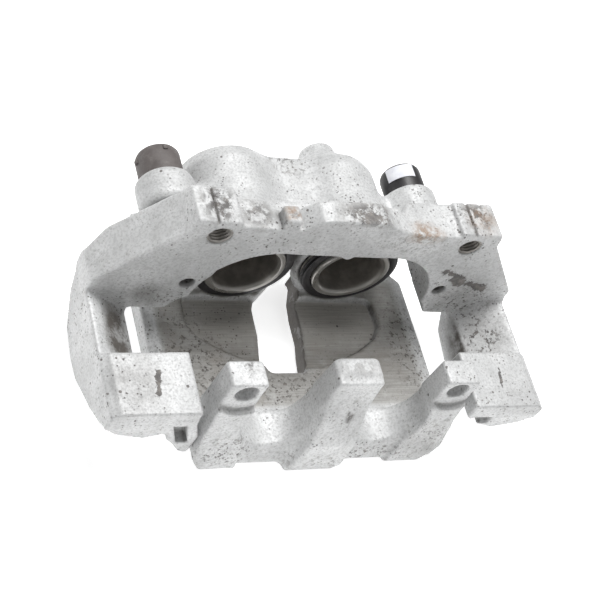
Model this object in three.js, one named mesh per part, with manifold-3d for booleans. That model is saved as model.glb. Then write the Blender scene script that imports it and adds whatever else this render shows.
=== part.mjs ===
// Twin-piston sliding brake caliper with its carrier, lying on its back with the hub side up.
//
// Design frame, in millimetres: X runs along the rotor's edge, Y runs along the piston axes and
// points inboard, and Z points up towards the hub. Y = 0 is the face of the carrier beam that
// looks at the rotor, and Z = 0 is the plane of the two piston axes. The last lines move the
// finished assembly so that its origin is under its middle, on the surface it lies on.

import * as THREE from 'three';
import { mergeVertices } from 'three/addons/utils/BufferGeometryUtils.js';
import Module from 'manifold-3d';

const wasm = await Module();
wasm.setup();

// ---- Driving dimensions ----------------------------------------------------------------------

const CLEARANCE = 0.3; // running gap between neighbouring pieces
const ROUND = 40; // segments of a large circle
const SMALL_ROUND = 20; // segments of a small circle

const PISTON_X = 34.7; // half the distance between the piston axes
const PISTON_RADIUS = 24;
const PISTON_RIM_Y = 19; // open end of a retracted piston
const PISTON_LENGTH = 48;
const CUP_RADIUS = 19.2; // bore of the hollow piston
const CUP_DEPTH = 41;
const BORE_RADIUS = PISTON_RADIUS + CLEARANCE;

const GUIDE_X = 80.9; // half the distance between the guide pins
const GUIDE_Z = 15.6;
const PIN_RADIUS = 6;
const PIN_THREAD_RADIUS = 4.1;
const PIN_HOLE_RADIUS = 4.4;

const MOUNT_X = 78.1; // half the distance between the threaded mounting holes
const MOUNT_Z = 57.7;
const MOUNT_HOLE_RADIUS = 6.4;
const MOUNT_THICKNESS = 24;

const CARRIER_HALF_WIDTH = 134.5;
const ARM_INNER_X = 107;
const ARM_INNER_Z = -13; // inner edge of the channel that clears the rotor
const ROTOR_GAP = 39.4; // free width between the carrier beam and its outboard blocks
const BLOCK_END_Y = -76.2;
const BLOCK_TOP_Z = 8.9;
const GUIDE_BOSS_END_Y = 40;

const FACE_Y = 26; // outboard face of the cylinder housing
const HOUSING_END_Y = 94;
const BARREL_RADIUS = 33.5;
const REAR_BARREL_RADIUS = 31;
const BRIDGE_HALF_WIDTH = 90.5;
const BRIDGE_TOP_Z = -29;
const REST_Z = -47; // lowest flats, on which the assembly lies
const FINGER_INNER_Y = -57;
const FINGER_TOP_Z = 30;
const FINGER_FACE_Y = -72; // spot face round the hole in an end finger
const FINGER_HOLE = { x: 65.4, z: 21.5, radius: 6.5, spotRadius: 15.5 };

const EAR_RADIUS = 16.6;
const EAR = { start: 46, end: 66.5 };
const EAR_BORE_RADIUS = 11.5;

const BOOT_SEAT_RADIUS = 29.8;
const BOOT_SEAT_END_Y = 33;
const SEAL_GROOVE = { radius: 27.5, start: 40, end: 46 };

const INLET = { x: 30, z: 8.5, end: 104, bossRadius: 11.5, radius: 5 };
const PASSAGE = { y: 72, z: 3, radius: 3 };
const PLUG = { outerX: 64.5, innerX: 60, radius: 4.7 };
const BLEEDER = { x: 38, z: -15, bossEnd: 99, holeRadius: 3.6 };

const LABEL_ARC = { from: 84, to: 162 }; // degrees round the cap, 90 is straight up

// ---- Solid modelling helpers -----------------------------------------------------------------

// A three.js geometry as a closed solid, with its faces turned outwards.
function solid(geometry) {
  geometry.deleteAttribute('normal');
  geometry.deleteAttribute('uv');
  const welded = mergeVertices(geometry, 1e-4);
  const place = welded.attributes.position;
  const index = welded.index.array;
  const corners = [];
  let volume = 0;
  const [a, b, c] = [new THREE.Vector3(), new THREE.Vector3(), new THREE.Vector3()];
  for (let i = 0; i < index.length; i += 3) {
    const [p, q, r] = [index[i], index[i + 1], index[i + 2]];
    if (p === q || q === r || r === p) continue;
    corners.push(p, q, r);
    a.fromBufferAttribute(place, p);
    b.fromBufferAttribute(place, q);
    c.fromBufferAttribute(place, r);
    volume += a.dot(b.cross(c));
  }
  if (volume < 0) corners.reverse();
  return new wasm.Manifold(new wasm.Mesh({
    numProp: 3,
    vertProperties: new Float32Array(place.array),
    triVerts: new Uint32Array(corners),
  }));
}

function geometryOf(body) {
  const mesh = body.getMesh();
  const geometry = new THREE.BufferGeometry();
  geometry.setAttribute('position', new THREE.BufferAttribute(mesh.vertProperties, 3));
  geometry.setIndex(new THREE.BufferAttribute(mesh.triVerts, 1));
  return geometry;
}

function join(first, ...others) {
  return others.reduce((whole, piece) => whole.add(piece), first);
}

function cut(first, ...others) {
  return others.reduce((whole, piece) => whole.subtract(piece), first);
}

function extrude(points, depth) {
  const shape = new THREE.Shape(points.map(([u, v]) => new THREE.Vector2(u, v)));
  return new THREE.ExtrudeGeometry(shape, { depth, bevelEnabled: false });
}

// A plate whose outline lies in the XZ plane.
function alongY(points, low, high) {
  const geometry = extrude(points, high - low);
  geometry.rotateX(Math.PI / 2);
  geometry.translate(0, high, 0);
  return solid(geometry);
}

// A plate whose outline lies in the YZ plane.
function alongX(points, low, high) {
  const geometry = extrude(points, high - low);
  geometry.rotateX(Math.PI / 2);
  geometry.rotateZ(Math.PI / 2);
  geometry.translate(low, 0, 0);
  return solid(geometry);
}

// A plate whose outline lies in the XY plane.
function alongZ(points, low, high) {
  const geometry = extrude(points, high - low);
  geometry.translate(0, 0, low);
  return solid(geometry);
}

function block(xLow, xHigh, yLow, yHigh, zLow, zHigh) {
  const geometry = new THREE.BoxGeometry(xHigh - xLow, yHigh - yLow, zHigh - zLow);
  geometry.translate((xLow + xHigh) / 2, (yLow + yHigh) / 2, (zLow + zHigh) / 2);
  return solid(geometry);
}

// A rod or cone along Y.
function rod(x, z, low, high, radius, segments = SMALL_ROUND, highRadius = radius) {
  const geometry = new THREE.CylinderGeometry(highRadius, radius, high - low, segments);
  geometry.translate(x, (low + high) / 2, z);
  return solid(geometry);
}

// A turned piece about an axis along Y: each profile point is [radius, y].
function turned(profile, x, z, segments = ROUND) {
  const points = profile.map(([radius, y]) => new THREE.Vector2(radius, y));
  const geometry = new THREE.LatheGeometry(points, segments);
  geometry.translate(x, 0, z);
  return solid(geometry);
}

// A ring about an axis along Y, whose profile closes on itself.
function ring(profile, x, z, segments = ROUND) {
  return turned([...profile, profile[0]], x, z, segments);
}

// Points of a circular arc, angles in degrees.
function arc(u, v, radius, from, to, steps) {
  return Array.from({ length: steps + 1 }, (_, i) => {
    const angle = THREE.MathUtils.degToRad(from + ((to - from) * i) / steps);
    return [u + radius * Math.cos(angle), v + radius * Math.sin(angle)];
  });
}

function mirrorX(points) {
  return points.map(([u, v]) => [-u, v]).reverse();
}

const SIDES = [['left', -1], ['right', 1]];

// ---- Materials -------------------------------------------------------------------------------

function finish(color, roughness, metalness) {
  return new THREE.MeshStandardMaterial({ color, roughness, metalness });
}

const silverPaint = finish(0xd6d7d6, 0.55, 0.3);
const machinedSteel = finish(0x9a978f, 0.3, 0.9);
const zincSteel = finish(0xb4b2aa, 0.4, 0.9);
const blackRubber = finish(0x2a282b, 0.75, 0.0);
const sealRubber = finish(0x1c1c1e, 0.6, 0.0);
const paper = finish(0xe9e9f2, 0.8, 0.0);

// ---- Carrier ---------------------------------------------------------------------------------

// The beam's outline as seen from the rotor, right half from the lower middle round to the top.
function beamHalf(topMiddle) {
  const pistonClearance = arc(PISTON_X - 1.5, 2, 42, 84, 6, 8);
  return [
    ...pistonClearance,
    [84.5, -10.5], [ARM_INNER_X, -11], [ARM_INNER_X, -20], [CARRIER_HALF_WIDTH, 0],
    [CARRIER_HALF_WIDTH, 14], [96, 59.5], [94.5, 68.5], [45, 67.5], ...topMiddle,
  ];
}

function carrierArm(side) {
  const sweep = [
    [22, 12], [21, 2], [14, -16], [0, -31], [-19, -34.5], [-32, -33], [-57, -20],
    [-69, -12], [BLOCK_END_Y, -5], [BLOCK_END_Y, BLOCK_TOP_Z - 4], [0, BLOCK_TOP_Z - 4], [0, 12],
  ];
  const low = side < 0 ? -CARRIER_HALF_WIDTH : ARM_INNER_X;
  return alongX(sweep, low, low + CARRIER_HALF_WIDTH - ARM_INNER_X);
}

// The outboard block that carries one end of the outer pad.
function outboardBlock(side) {
  const inner = 85.4;
  const outer = 129.5;
  const section = [
    [inner, BLOCK_TOP_Z], [inner, -3], [96, -11], [110, -16.5], [127, -11.5],
    [CARRIER_HALF_WIDTH, -5], [CARRIER_HALF_WIDTH, BLOCK_TOP_Z - 4], [outer, BLOCK_TOP_Z],
  ];
  const outline = side < 0 ? mirrorX(section) : section;
  return alongY(outline, BLOCK_END_Y, -ROTOR_GAP);
}

// The channel that lets the rotor's edge run past the arms.
function rotorRelief(side) {
  const rise = (BLOCK_TOP_Z - 2 - ARM_INNER_Z) / (CARRIER_HALF_WIDTH - ARM_INNER_X);
  const height = (x) => ARM_INNER_Z + (x - ARM_INNER_X) * rise;
  const section = [[98, height(98)], [140, height(140)], [140, 40], [98, 40]];
  return alongY(side < 0 ? mirrorX(section) : section, -ROTOR_GAP, 0);
}

function carrierBracket() {
  const rightTop = [[28, 69], [14, 76]];
  const leftTop = [[50, 66.5], [40, 64.8], [31, 66], [22, 75.5]];
  const outline = [...beamHalf(rightTop), ...mirrorX(beamHalf(leftTop))];
  const beam = alongY(outline, 0, MOUNT_THICKNESS + 3);
  const plan = [
    [-CARRIER_HALF_WIDTH, -1], [CARRIER_HALF_WIDTH, -1], [CARRIER_HALF_WIDTH, 20],
    [124, 27], [97, 27], [92, MOUNT_THICKNESS], [-92, MOUNT_THICKNESS], [-97, 27], [-124, 27],
    [-CARRIER_HALF_WIDTH, 20],
  ];
  const step = [[-66, 20], [-42, 20], [-34, 15], [32, 15], [46, 30], [-66, 30]];
  let body = beam.intersect(alongZ(plan, -60, 90)).subtract(alongZ(step, 60, 90));
  body = join(body, block(-45.5, -35.5, 1.5, 11.5, 60, 73));
  for (const [, side] of SIDES) {
    const web = [[66.5, 10], [98, -4], [112, 30], [92, 34], [74, 29]];
    body = join(
      body,
      carrierArm(side),
      outboardBlock(side),
      rod(side * GUIDE_X, GUIDE_Z, 0, GUIDE_BOSS_END_Y, 14.5, 32),
      alongY(side < 0 ? mirrorX(web) : web, 20, 34),
    );
  }
  const footSection = [
    [-98, 0], [-96.4, -18.9], [-91.3, -24.1], [-84.8, -32.8], [-80.5, -34.5], [-78.8, -33],
    [-78.8, -17], [-84, -4], [-85.4, 0],
  ];
  body = join(body, alongY(footSection, BLOCK_END_Y, -65));
  const pocket = [[-97.5, -4], [-89.5, -4], [-83, -22.5], [-89.5, -22.5]];
  const recesses = [
    alongY(pocket, BLOCK_END_Y - 1, BLOCK_END_Y + 7),
    block(90, 104, BLOCK_END_Y - 1, BLOCK_END_Y + 6, -10, -4),
  ];
  body = cut(body, ...recesses);
  for (const [, side] of SIDES) {
    body = cut(
      body,
      rotorRelief(side),
      rod(side * MOUNT_X, MOUNT_Z, -1, 40, MOUNT_HOLE_RADIUS),
      rod(side * MOUNT_X, MOUNT_Z, -1, 1.4, MOUNT_HOLE_RADIUS + 2.4, SMALL_ROUND, MOUNT_HOLE_RADIUS),
      rod(side * GUIDE_X, GUIDE_Z, -1, 60, PIN_HOLE_RADIUS),
      rod(side * PISTON_X, 0, -1, 60, BARREL_RADIUS + 3, ROUND),
      rod(side * (PISTON_X - 1.5), 2, -1, 60, 42, ROUND),
    );
  }
  return body;
}

// ---- Caliper housing -------------------------------------------------------------------------

function barrel(x) {
  return turned([
    [0, FACE_Y], [BARREL_RADIUS, FACE_Y], [BARREL_RADIUS, 36], [REAR_BARREL_RADIUS, 46],
    [REAR_BARREL_RADIUS - 1, HOUSING_END_Y - 14], [REAR_BARREL_RADIUS - 3.5, HOUSING_END_Y - 7],
    [REAR_BARREL_RADIUS - 8, HOUSING_END_Y - 2], [REAR_BARREL_RADIUS - 14, HOUSING_END_Y],
    [0, HOUSING_END_Y],
  ], x, 0);
}

function bridge() {
  const lower = 60;
  const section = [
    [-BRIDGE_HALF_WIDTH, BRIDGE_TOP_Z], [-BRIDGE_HALF_WIDTH, -41], [-lower, REST_Z],
    [lower, REST_Z], [BRIDGE_HALF_WIDTH, -41], [BRIDGE_HALF_WIDTH, BRIDGE_TOP_Z],
  ];
  const plan = [
    [-BRIDGE_HALF_WIDTH, -62], [BRIDGE_HALF_WIDTH, -62], [BRIDGE_HALF_WIDTH, 33], [82, 42],
    [-82, 42], [-BRIDGE_HALF_WIDTH, 33],
  ];
  return alongY(section, -62, 42).intersect(alongZ(plan, -60, 0));
}

// The pad pocket sunk into the bridge, pointed towards the fingers.
function bridgePocket() {
  const half = [[63, 21], [64, 2], [58, -7], [44, -16], [28, -23], [16, -27]];
  return alongZ([...half, ...mirrorX(half)], BRIDGE_TOP_Z - 5, 0);
}

function bridgeWindow() {
  const outboard = [
    [-19, -30.5], [4, -30.5], [8.6, -24], [10, -13], [12, -3], [12.5, 22], [-12, 22], [-16.8, 16],
    [-17.5, -3], [-21, -23],
  ];
  const inboard = [[-12, 21.9], [12.5, 21.9], [16, 33], [20, 42], [8, 42], [-6, 28]];
  return join(alongZ(outboard, -60, -12), alongZ(inboard, -60, BRIDGE_TOP_Z + 1));
}

function outerWall() {
  const section = [
    [FINGER_INNER_Y, REST_Z], [FINGER_INNER_Y, FINGER_TOP_Z], [FINGER_FACE_Y, FINGER_TOP_Z],
    [-72.5, 0], [-75, -22], [-79, -34], [-80.5, -41], [-78, REST_Z],
  ];
  const front = [
    [-66, REST_Z], [70, REST_Z], [79, -42], [83.5, -33], [84, -20], [81, -8], [77, 6],
    [76.5, FINGER_TOP_Z], [-76.5, FINGER_TOP_Z], [-77, -6], [-77.3, -28], [-75, -37], [-70, -44],
  ];
  return alongX(section, -90, 90).intersect(alongY(front, -100, 0));
}

// The rough pillar below an end finger, which stands proud of the wall and of the spot face.
function fingerPillar(side) {
  const section = [
    [-60, REST_Z], [-60, 18], [-75, 18], [-76, 4], [-79, -18], [-82.5, -35], [-83, -42],
    [-80.5, REST_Z],
  ];
  const front = [[48, REST_Z], [56, 18], [76.5, 18], [77.2, -28], [75, -37], [70, -44], [66, REST_Z]];
  const body = alongX(section, -90, 90).intersect(alongY(side < 0 ? mirrorX(front) : front, -100, 0));
  const { x, z, spotRadius } = FINGER_HOLE;
  return body.subtract(rod(side * x, z, -100, FINGER_FACE_Y, spotRadius, ROUND));
}

function centreFinger() {
  const section = [
    [FINGER_INNER_Y, REST_Z], [FINGER_INNER_Y, FINGER_TOP_Z + 2], [-65.5, FINGER_TOP_Z + 2],
    [-67, FINGER_TOP_Z], [-86, -14], [-87.5, -36], [-84, REST_Z],
  ];
  const front = [
    [-18, REST_Z], [15, REST_Z], [12.5, 0], [12, FINGER_TOP_Z + 4], [-11, FINGER_TOP_Z + 4],
    [-14, 0],
  ];
  return alongX(section, -17, 17).intersect(alongY(front, -100, -50));
}

// The gap between two fingers, in line with a piston.
function fingerGap(x) {
  const halfWidth = 21;
  const bottom = arc(x, -5, halfWidth + 2, 180, 360, 14);
  return alongY([...bottom, [x + halfWidth, 60], [x - halfWidth, 60]], -100, FINGER_INNER_Y + 5);
}

function guideEar(side) {
  const web = [[40, 18], [64, 20], [74, 28], [80, 0], [62, -8], [40, -10]];
  return join(
    rod(side * GUIDE_X, GUIDE_Z, EAR.start, EAR.end - 3, EAR_RADIUS, 32),
    rod(side * GUIDE_X, GUIDE_Z, EAR.end - 3, EAR.end, EAR_RADIUS, 32, EAR_RADIUS - 3),
    alongY(side < 0 ? mirrorX(web) : web, EAR.start + 1, EAR.end - 3),
  );
}

function caliperHousing() {
  let body = join(barrel(-PISTON_X), barrel(PISTON_X), bridge());
  body = join(body, block(-PISTON_X, PISTON_X, 40, 87, -12, 22), block(-9, 9, FACE_Y + 2, 42, 8, 22));
  body = join(body, outerWall(), fingerPillar(-1), fingerPillar(1));
  body = join(
    body,
    rod(INLET.x, INLET.z, 70, INLET.end, INLET.bossRadius),
    rod(BLEEDER.x, BLEEDER.z, 84, BLEEDER.bossEnd, 8.5),
  );
  for (const [, side] of SIDES) {
    const rib = alongX([[FACE_Y, REST_Z], [64, REST_Z], [80, -22], [FACE_Y, -22]], -6, 6);
    body = join(body, guideEar(side), rib.translate(side * PISTON_X, 0, 0));
  }
  body = body.subtract(bridgePocket()).subtract(fingerGap(-PISTON_X)).subtract(fingerGap(PISTON_X));
  body = body.add(centreFinger()).subtract(bridgeWindow());
  for (const [, side] of SIDES) {
    body = cut(
      body,
      rod(side * PISTON_X, 0, FACE_Y - 1, PASSAGE.y + 4, BORE_RADIUS, ROUND),
      rod(side * PISTON_X, 0, PISTON_RIM_Y - 1, FACE_Y, BOOT_SEAT_RADIUS + 1.2, ROUND),
      rod(side * PISTON_X, 0, FACE_Y - 1, BOOT_SEAT_END_Y, BOOT_SEAT_RADIUS, ROUND),
      rod(side * PISTON_X, 0, SEAL_GROOVE.start, SEAL_GROOVE.end, SEAL_GROOVE.radius, ROUND),
      rod(side * GUIDE_X, GUIDE_Z, EAR.start - 1, EAR.end + 1, EAR_BORE_RADIUS, 32),
      rod(side * FINGER_HOLE.x, FINGER_HOLE.z, -90, -50, FINGER_HOLE.radius),
    );
  }
  const passage = rod(0, 0, 10 - PISTON_X, PLUG.innerX + 1, PASSAGE.radius, 16);
  const plugSeat = rod(0, 0, PLUG.innerX, 80, PLUG.radius + CLEARANCE);
  for (const drilling of [passage, plugSeat]) {
    body = body.subtract(drilling.rotate(0, 0, -90).translate(0, PASSAGE.y, PASSAGE.z));
  }
  body = body.subtract(rod(INLET.x, INLET.z, PASSAGE.y - 1, INLET.end + 1, INLET.radius));
  return body.subtract(rod(BLEEDER.x, BLEEDER.z, PASSAGE.y, BLEEDER.bossEnd + 1, BLEEDER.holeRadius));
}

// ---- Hydraulics ------------------------------------------------------------------------------

function piston(x) {
  const rim = PISTON_RIM_Y;
  const end = rim + PISTON_LENGTH;
  return turned([
    [0, end], [PISTON_RADIUS - 1.5, end], [PISTON_RADIUS, end - 1.5], [PISTON_RADIUS, rim + 6],
    [PISTON_RADIUS - 1.8, rim + 5.4], [PISTON_RADIUS - 1.8, rim + 3.4], [PISTON_RADIUS, rim + 2.8],
    [PISTON_RADIUS, rim + 0.6], [PISTON_RADIUS - 0.6, rim], [CUP_RADIUS + 1.4, rim],
    [CUP_RADIUS, rim + 1.6], [CUP_RADIUS, rim + CUP_DEPTH - 3], [CUP_RADIUS - 3, rim + CUP_DEPTH],
    [0, rim + CUP_DEPTH],
  ], x, 0);
}

function pistonSeal(x) {
  const inner = BORE_RADIUS + 0.1;
  const outer = SEAL_GROOVE.radius - CLEARANCE;
  const [low, high] = [SEAL_GROOVE.start + CLEARANCE, SEAL_GROOVE.end - CLEARANCE];
  return ring([[inner, low], [outer, low], [outer, high], [inner, high]], x, 0);
}

// A folded rubber boot between the housing's mouth and the piston.
function dustBoot(x) {
  const outer = BOOT_SEAT_RADIUS - CLEARANCE;
  return ring([
    [BORE_RADIUS, 21], [28.4, 20.6], [29.4, 21.6], [26.6, 22.7], [30.2, 23.8], [29.8, 24.7],
    [26.4, 24.7], [26.6, 27], [outer, 27], [outer, 32.7], [27.6, 32.7], [27.6, 28.4], [BORE_RADIUS + 0.5, 27],
    [BORE_RADIUS + 0.5, 23.4], [BORE_RADIUS, 23.4],
  ], x, 0);
}

function bootRing(x) {
  const outer = BOOT_SEAT_RADIUS - CLEARANCE;
  return ring([[outer - 1.9, 25], [outer, 25], [outer, 26.7], [outer - 1.9, 26.7]], x, 0);
}

function passagePlug() {
  const length = PLUG.outerX - PLUG.innerX;
  const body = rod(0, 0, 0, length, PLUG.radius);
  const socket = rod(0, 0, length / 2, length + 1, 2.4, 6);
  return body.subtract(socket).rotate(0, 0, -90).translate(PLUG.innerX, PASSAGE.y, PASSAGE.z);
}

function bleedScrew() {
  const top = BLEEDER.bossEnd;
  const thread = BLEEDER.holeRadius - CLEARANCE;
  const body = turned([
    [0, 80], [1, 80], [thread, 83.5], [thread, top + 0.6], [3, top + 0.6], [3, top + 7],
    [3.4, top + 13], [2.6, top + 15], [0, top + 15],
  ], BLEEDER.x, BLEEDER.z, SMALL_ROUND);
  const hexagon = rod(BLEEDER.x, BLEEDER.z, top + 0.6, top + 6.6, 5.8, 6);
  const drilling = rod(BLEEDER.x, BLEEDER.z, 84, top + 16, 1.1, 10);
  return body.add(hexagon).subtract(drilling);
}

function bleedCap() {
  const foot = BLEEDER.bossEnd + 7;
  return turned([
    [3.4 + CLEARANCE, foot], [5.2, foot], [5.2, foot + 3], [4.6, foot + 4], [4.6, foot + 10.5],
    [3.6, foot + 11.5], [0, foot + 11.5], [0, foot + 9], [3.4 + CLEARANCE, foot + 9],
    [3.4 + CLEARANCE, foot],
  ], BLEEDER.x, BLEEDER.z, SMALL_ROUND);
}

// ---- Guides ----------------------------------------------------------------------------------

function guidePin(side) {
  const shoulder = GUIDE_BOSS_END_Y + CLEARANCE;
  const end = 78;
  const body = turned([
    [0, 16], [PIN_THREAD_RADIUS - 1, 16], [PIN_THREAD_RADIUS, 17.5], [PIN_THREAD_RADIUS, shoulder],
    [PIN_RADIUS, shoulder], [PIN_RADIUS, end - 1], [PIN_RADIUS - 1, end], [0, end],
  ], side * GUIDE_X, GUIDE_Z, SMALL_ROUND);
  return body.subtract(rod(side * GUIDE_X, GUIDE_Z, end - 8, end + 1, 4, 6));
}

function guideSleeve(side) {
  const inner = PIN_RADIUS + CLEARANCE;
  const end = EAR.end - CLEARANCE;
  return ring([[inner, 44], [inner + 1, 44], [inner + 1, end], [inner, end]],
    side * GUIDE_X, GUIDE_Z, SMALL_ROUND);
}

// The rubber bush in a guide ear, with a ribbed lip that reaches towards the carrier.
function guideBush(side) {
  const inner = PIN_RADIUS + 1 + 2 * CLEARANCE;
  const outer = EAR_BORE_RADIUS - CLEARANCE;
  const rib = 12.4;
  const end = EAR.end - CLEARANCE;
  return ring([
    [inner, 42.4], [rib - 1, 42.4], [rib, 42.9], [outer - 1, 43.4], [rib, 44], [rib, 44.6],
    [outer - 1, 45.2], [outer, 46.2], [outer, end], [inner, end],
  ], side * GUIDE_X, GUIDE_Z, SMALL_ROUND);
}

const CAP = { start: EAR.end + CLEARANCE, end: 85.5, radius: 12.9 };

function guideCap(side) {
  const { start, end, radius } = CAP;
  const body = turned([
    [radius - 1.6, start], [radius, start], [radius - 0.2, end - 4], [radius - 0.9, end - 1.6],
    [radius - 2.6, end - 0.3], [radius - 5, end], [0, end], [0, end - 2], [radius - 2.8, end - 2],
    [radius - 1.6, start],
  ], side * GUIDE_X, GUIDE_Z, 32);
  if (side > 0) return body;
  const z = GUIDE_Z;
  const x = side * GUIDE_X;
  const nubs = [
    block(x - 1.5, x + 1.5, end - 6, end - 3, z + radius - 2, z + radius + 1.1),
    block(x - radius - 1.1, x - radius + 2, end - 8, end - 5, z - 1.5, z + 1.5),
    block(x + radius - 2, x + radius + 1.1, end - 6, end - 3, z - 1.5, z + 1.5),
  ];
  return join(body, ...nubs);
}

function capLabel() {
  const inner = CAP.radius + CLEARANCE;
  const outline = [
    ...arc(GUIDE_X, GUIDE_Z, inner, LABEL_ARC.from, LABEL_ARC.to, 14),
    ...arc(GUIDE_X, GUIDE_Z, inner + CLEARANCE, LABEL_ARC.to, LABEL_ARC.from, 14),
  ];
  return alongY(outline, CAP.end - 12, CAP.end - 3);
}

// ---- Assembly --------------------------------------------------------------------------------

const caliper = new THREE.Group();

function place(name, body, material) {
  const mesh = new THREE.Mesh(geometryOf(body), material);
  mesh.name = name;
  caliper.add(mesh);
}

place('carrier_bracket', carrierBracket(), silverPaint);
place('caliper_housing', caliperHousing(), silverPaint);
for (const [name, side] of SIDES) {
  const x = side * PISTON_X;
  place(`piston_${name}`, piston(x), machinedSteel);
  place(`piston_seal_${name}`, pistonSeal(x), sealRubber);
  place(`dust_boot_${name}`, dustBoot(x), blackRubber);
  place(`boot_ring_${name}`, bootRing(x), zincSteel);
  place(`guide_pin_${name}`, guidePin(side), zincSteel);
  place(`guide_sleeve_${name}`, guideSleeve(side), zincSteel);
  place(`guide_bush_${name}`, guideBush(side), blackRubber);
  place(`guide_cap_${name}`, guideCap(side), blackRubber);
}
place('cap_label', capLabel(), paper);
place('passage_plug', passagePlug(), zincSteel);
place('bleed_screw', bleedScrew(), zincSteel);
place('bleed_cap', bleedCap(), blackRubber);

const bounds = new THREE.Box3().setFromObject(caliper);
const middle = bounds.getCenter(new THREE.Vector3());
caliper.position.set(-middle.x, -middle.y, -bounds.min.z);

export default caliper;
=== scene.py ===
"""Looks of the twin-piston brake caliper: castings, turned pieces, rubber, paint, camera and light.

Sizes here are in millimetres in the design frame of the CAD part: X along the rotor's edge,
Y along the pistons with 0 on the carrier's rotor-facing face, Z up with 0 on the piston axes.
to_row() moves them into the row frame, in metres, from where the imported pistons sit.
"""

import math

import bmesh
import bpy
import numpy as np
from mathutils import Matrix, Vector


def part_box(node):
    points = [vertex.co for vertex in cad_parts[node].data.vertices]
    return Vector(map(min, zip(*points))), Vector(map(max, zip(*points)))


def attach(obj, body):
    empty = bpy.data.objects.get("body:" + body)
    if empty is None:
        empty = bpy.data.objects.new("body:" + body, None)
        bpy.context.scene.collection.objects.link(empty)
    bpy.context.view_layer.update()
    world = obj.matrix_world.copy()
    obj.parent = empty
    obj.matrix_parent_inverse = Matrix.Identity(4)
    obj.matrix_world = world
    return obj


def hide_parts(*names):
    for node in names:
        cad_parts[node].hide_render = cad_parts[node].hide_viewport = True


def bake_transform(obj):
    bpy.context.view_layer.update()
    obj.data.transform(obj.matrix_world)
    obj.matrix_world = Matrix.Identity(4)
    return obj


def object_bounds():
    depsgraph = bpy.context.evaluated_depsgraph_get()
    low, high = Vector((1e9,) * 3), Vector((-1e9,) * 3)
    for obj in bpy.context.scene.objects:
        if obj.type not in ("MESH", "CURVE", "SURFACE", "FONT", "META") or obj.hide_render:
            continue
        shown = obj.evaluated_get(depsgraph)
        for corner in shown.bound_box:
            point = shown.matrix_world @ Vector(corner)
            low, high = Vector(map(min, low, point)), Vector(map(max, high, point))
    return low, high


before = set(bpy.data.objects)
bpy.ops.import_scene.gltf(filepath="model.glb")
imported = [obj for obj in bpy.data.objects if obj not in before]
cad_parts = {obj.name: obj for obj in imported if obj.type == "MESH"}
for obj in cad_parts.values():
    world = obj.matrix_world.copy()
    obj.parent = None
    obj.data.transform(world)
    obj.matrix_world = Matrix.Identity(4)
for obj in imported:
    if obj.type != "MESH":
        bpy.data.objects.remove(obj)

CAD_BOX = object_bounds()

# ---- Where the design frame lies in the row frame --------------------------------------------

LEFT_PISTON, RIGHT_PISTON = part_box("piston_left"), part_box("piston_right")
SHIFT = np.array([(LEFT_PISTON[0].x + RIGHT_PISTON[1].x) / 2, LEFT_PISTON[0].y - 0.019,
                  (LEFT_PISTON[0].z + LEFT_PISTON[1].z) / 2])


def to_row(points):
    return np.asarray(points, float) * 0.001 + SHIFT


# ---- Dimensions shared with the CAD part -----------------------------------------------------

PISTON_X = 34.7
RIM_Y = 19.0
GUIDE_X, GUIDE_Z = 80.9, 15.6
MOUNT_X, MOUNT_Z = 78.1, 57.7
HALF_WIDTH = 134.5
ARM_X = 107.0
BLOCK_Y0, BLOCK_Y1 = -76.2, -39.4
BLOCK_Z = 8.9
FACE_Y = 26.0
REAR_Y = 94.0
BRIDGE_X = 90.5
REST_Z = -47.0
INLET_X, INLET_Z, INLET_Y = 30.0, 8.5, 104.0
BLEED_X, BLEED_Z, BLEED_Y = 38.0, -15.0, 99.0
EAR_Y0, EAR_Y1 = 46.0, 66.5
CAP_Y0, CAP_Y1, CAP_R = 66.8, 85.5, 12.9
SIDES = (("left", -1.0), ("right", 1.0))

# ---- Signed distance building blocks ---------------------------------------------------------


def poly(u, v, pts):
    """Signed distance to a polygon in a plane."""
    pts = np.asarray(pts, np.float32)
    dist, turns = None, None
    for i in range(len(pts)):
        a, b = pts[i], pts[i - 1]
        e = b - a
        wu, wv = u - a[0], v - a[1]
        t = np.clip((wu * e[0] + wv * e[1]) / float(e @ e), 0, 1)
        d = (wu - e[0] * t) ** 2 + (wv - e[1] * t) ** 2
        c1, c2, c3 = v >= a[1], v < b[1], e[0] * wv > e[1] * wu
        flip = (c1 & c2 & c3) | ~(c1 | c2 | c3)
        dist = d if dist is None else np.minimum(dist, d)
        turns = flip if turns is None else turns ^ flip
    return np.where(turns, -1, 1) * np.sqrt(dist)


def soften(pts, radius, steps=4):
    """The polygon with every corner rounded to radius, or to what its edges allow."""
    pts = [np.array(p[:2], float) for p in pts]
    out = []
    for i, p in enumerate(pts):
        a, b = pts[i - 1] - p, pts[(i + 1) % len(pts)] - p
        la, lb = np.linalg.norm(a), np.linalg.norm(b)
        a, b = a / la, b / lb
        half = math.acos(max(-1, min(1, float(a @ b)))) / 2
        if half > math.radians(86) or radius <= 0:
            out.append(p)
            continue
        reach = min(radius / math.tan(half), 0.45 * la, 0.45 * lb)
        r = reach * math.tan(half)
        centre = p + (a + b) / np.linalg.norm(a + b) * (r / math.sin(half))
        s, e = p + a * reach - centre, p + b * reach - centre
        a0, a1 = math.atan2(s[1], s[0]), math.atan2(e[1], e[0])
        turn = (a1 - a0 + math.pi) % (2 * math.pi) - math.pi
        for k in range(steps + 1):
            ang = a0 + turn * k / steps
            out.append(centre + r * np.array([math.cos(ang), math.sin(ang)]))
    return np.array(out)


def arc(cu, cv, r, a0, a1, n):
    return [(cu + r * math.cos(math.radians(a0 + (a1 - a0) * i / n)),
             cv + r * math.sin(math.radians(a0 + (a1 - a0) * i / n))) for i in range(n + 1)]


def flip_u(pts):
    return [(-p[0], p[1]) for p in pts][::-1]


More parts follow.
